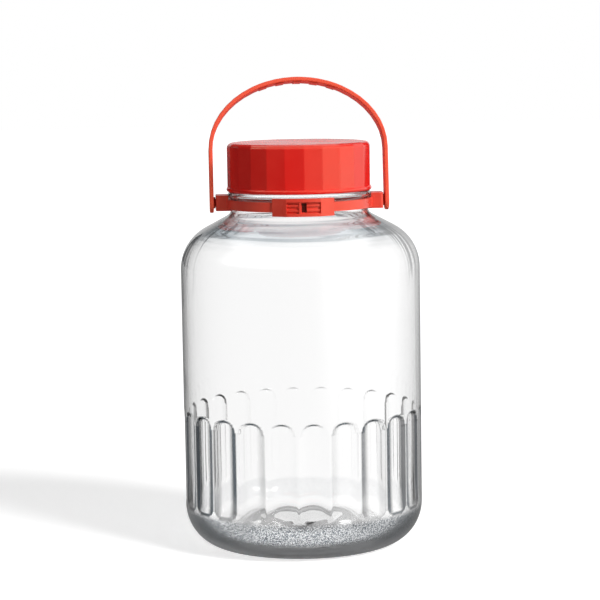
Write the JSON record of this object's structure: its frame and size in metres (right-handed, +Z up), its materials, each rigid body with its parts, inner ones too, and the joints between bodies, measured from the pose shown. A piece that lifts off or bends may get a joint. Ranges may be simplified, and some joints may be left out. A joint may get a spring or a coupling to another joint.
{
  "type": "glass storage jar",
  "caption": "Wide round clear glass storage jar with arched flutes round its lower wall, a faceted red screw lid, and a red neck collar that carries a swinging bail handle.",
  "frame": {"origin": "centre of the ring that the jar stands on", "axes": "+Z up along the jar's axis; the collar's clasp faces -Y; the handle's hinge line is parallel to X"},
  "size_m": [0.177, 0.177, 0.3467],
  "materials": {
    "clear_glass": "clear pressed glass, smooth, with a stippled ring under the base",
    "lid_plastic": "glossy moulded red plastic, fine grain on the top",
    "strap_plastic": "semi-gloss moulded red plastic"
  },
  "bodies": {
    "jar": {"glass_jar": "clear_glass", "screw_lid": "lid_plastic", "neck_collar": "strap_plastic"},
    "bail": {"bail_handle": "strap_plastic"}
  },
  "joints": [
    {"name": "handle_swing", "type": "hinge", "parent": "jar", "child": "bail", "pos_m": [0, 0, 0.2552], "axis": [1, 0, 0], "range_deg": [-95.5, 114.5]}
  ]
}
